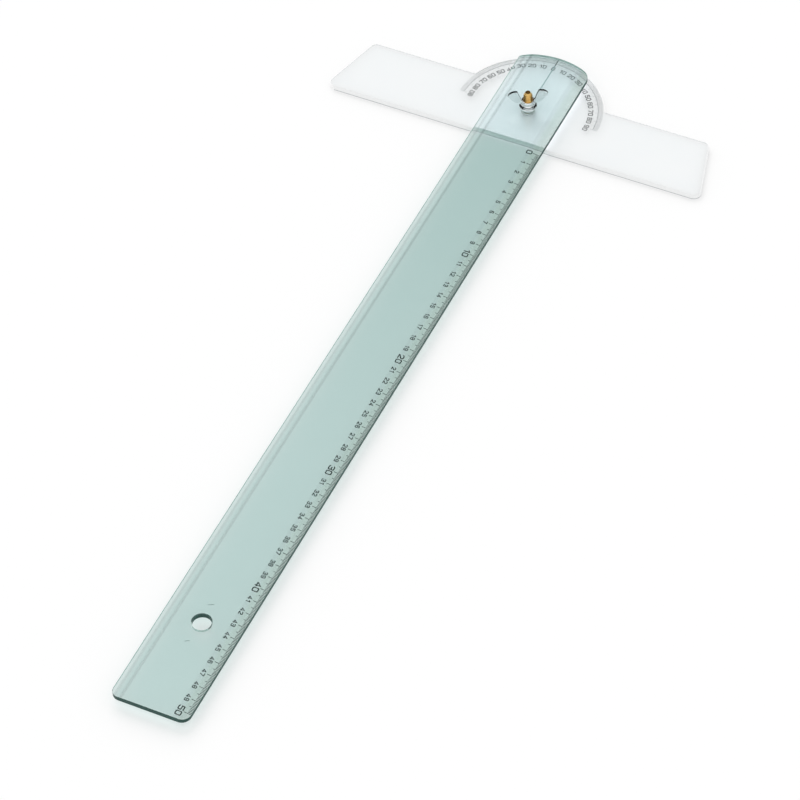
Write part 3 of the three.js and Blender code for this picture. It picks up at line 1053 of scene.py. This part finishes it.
# Marks in a row along -Y, starting from one edge and lying on the bevel's slope
def straightTicksTree():
    tree, given, index, length, half = startTicks("straightTicks", ("Start X", "Start Y", "Slope"))
    along = addNode(tree, "ShaderNodeMath", {0: index, 1: given["Spacing"]}, operation="MULTIPLY")
    x = addNode(tree, "ShaderNodeMath", {0: given["Start X"], 1: half}, operation="SUBTRACT")
    y = addNode(tree, "ShaderNodeMath", {0: given["Start Y"], 1: along}, operation="SUBTRACT")
    z = addNode(tree, "ShaderNodeMath", {0: half, 1: given["Slope"], 2: given["Height"]}, operation="MULTIPLY_ADD")
    spot = addNode(tree, "ShaderNodeCombineXYZ", {0: x, 1: y, 2: z})
    size = addNode(tree, "ShaderNodeCombineXYZ", {0: length, 1: given["Width"], 2: given["Thickness"]})
    pitch = addNode(tree, "ShaderNodeMath", {0: given["Slope"]}, operation="ARCTANGENT")
    tilt = addNode(tree, "ShaderNodeCombineXYZ", {1: pitch})
    return finishTicks(tree, given, spot, size, tilt)


# Marks round the half circle with zero at +Y, and an arc line where the shortest ones end
def roundTicksTree():
    tree, given, index, length, half = startTicks("roundTicks", ("Radius", "Arc", "Arc width"), ("Arc points",))
    gaps = addNode(tree, "ShaderNodeMath", {0: given["Marks"], 1: 1.0}, operation="SUBTRACT")
    middle = addNode(tree, "ShaderNodeMath", {0: gaps, 1: 0.5}, operation="MULTIPLY")
    steps = addNode(tree, "ShaderNodeMath", {0: index, 1: middle}, operation="SUBTRACT")
    angle = addNode(tree, "ShaderNodeMath", {0: steps, 1: given["Spacing"]}, operation="MULTIPLY")
    radius = addNode(tree, "ShaderNodeMath", {0: given["Radius"], 1: half}, operation="SUBTRACT")
    y, x = onCircle(tree, radius, angle)
    spot = addNode(tree, "ShaderNodeCombineXYZ", {0: x, 1: y, 2: given["Height"]})
    size = addNode(tree, "ShaderNodeCombineXYZ", {0: given["Width"], 1: length, 2: given["Thickness"]})
    back = addNode(tree, "ShaderNodeMath", {0: angle, 1: -1.0}, operation="MULTIPLY")
    turn = addNode(tree, "ShaderNodeCombineXYZ", {2: back})
    profile = addNode(tree, "GeometryNodeCurvePrimitiveQuadrilateral", {
        "Width": given["Arc width"], "Height": given["Thickness"]})
    arc = addNode(tree, "GeometryNodeCurveArc", {
        "Resolution": given["Arc points"], "Radius": given["Arc"], "Start Angle": 0.0, "Sweep Angle": math.pi})
    ribbon = addNode(tree, "GeometryNodeCurveToMesh", {"Curve": arc, "Profile Curve": profile, "Fill Caps": True})
    lift = addNode(tree, "ShaderNodeCombineXYZ", {2: given["Height"]})
    lifted = addNode(tree, "GeometryNodeTransform", {"Geometry": ribbon, "Translation": lift})
    return finishTicks(tree, given, spot, size, turn, lifted)


def tickLengths(size, layer, height):
    return {"Short": size["short"], "Middle": size["middle"], "Long": size["long"], "Width": size["width"],
            "Thickness": layer["thickness"], "Height": height}


def addPrint(name, mesh, ink, body):
    addPiece(name, mesh, ink, body, smooth=False)


def makeScale(size, layer):
    edge = size["from"]
    slope = (bladeShape["thickness"] - bladeShape["edgeThickness"]) / bladeShape["bevelWidth"]
    height = bladeTop(edge) + (layer["lift"] + layer["thickness"] / 2)
    ticks = growMesh("scaleTicks", straightTicksTree(), {
        **tickLengths(size, layer, height), "Spacing": size["spacing"], "Start X": edge, "Start Y": size["zero"],
    }, {"Marks": size["marks"], "Slope": slope, "Ink": scaleInk})
    addPrint("scaleTicks", ticks, scaleInk, "straightedge")
    numbers = bmesh.new()
    every = size["numberEvery"]
    for mark in range(size["numbers"]):
        y = size["zero"] - every * mark

        def place(p, rise, y=y):
            x = size["numberCentre"] + p.y
            return Vector((x, y - p.x, bladeTop(x) + layer["lift"] + rise)) * mm

        digitSize = size["small" if mark % every else "large"]
        writeNumber(numbers, str(mark), digitSize, size["gap"], layer["thickness"], place)
    addPrint("scaleNumbers", meshOf("scaleNumbers", numbers), scaleInk, "straightedge")


def makeDial(size, layer):
    height = size["height"] + layer["lift"]
    ticks = growMesh("dialTicks", roundTicksTree(), {
        **tickLengths(size, layer, height + layer["thickness"] / 2), "Radius": size["outer"], "Arc": size["arc"],
        "Arc width": size["arcWidth"],
    }, {"Marks": size["marks"], "Arc points": size["arcPoints"], "Spacing": math.radians(1.0), "Ink": dialInk})
    addPrint("dialTicks", ticks, dialInk, "head")
    numbers = bmesh.new()
    for degrees in range(-90, 91, size["numberEvery"]):
        turn = Matrix.Rotation(-math.radians(degrees), 2)

        def place(p, rise, turn=turn):
            flat = turn @ Vector((p.x, p.y + size["numberRadius"]))
            return Vector((flat.x, flat.y, height + rise)) * mm

        writeNumber(numbers, str(abs(degrees)), size["number"], size["gap"], layer["thickness"], place)
    addPrint("dialNumbers", meshOf("dialNumbers", numbers), dialNumberInk, "head")


# Strokes on the straightedge, at a height that may follow its top
def addStrokes(name, strokes, width, ink, layer, heightAt):
    def place(p, rise):
        return Vector((p.x, p.y, heightAt(p.x) + rise)) * mm

    shape = bmesh.new()
    for ends in strokes:
        strokeSlab(shape, ends, width, layer["thickness"], place)
    addPrint(name, meshOf(name, shape), ink, "straightedge")


makeScale(scalePrint, printLayer)
makeDial(dialPrint, printLayer)
for name, part, ink in (("indexLine", "line", indexInk), ("indexMark", "mark", scaleInk)):
    addStrokes(name, [indexPrint[part]], indexPrint["width"], ink, printLayer, lambda x: indexPrint["height"])
addStrokes("mouldMarks", mouldMarks["strokes"], mouldMarks["width"], dialInk, printLayer,
           lambda x: bladeTop(x) + printLayer["lift"])
print("print ready")
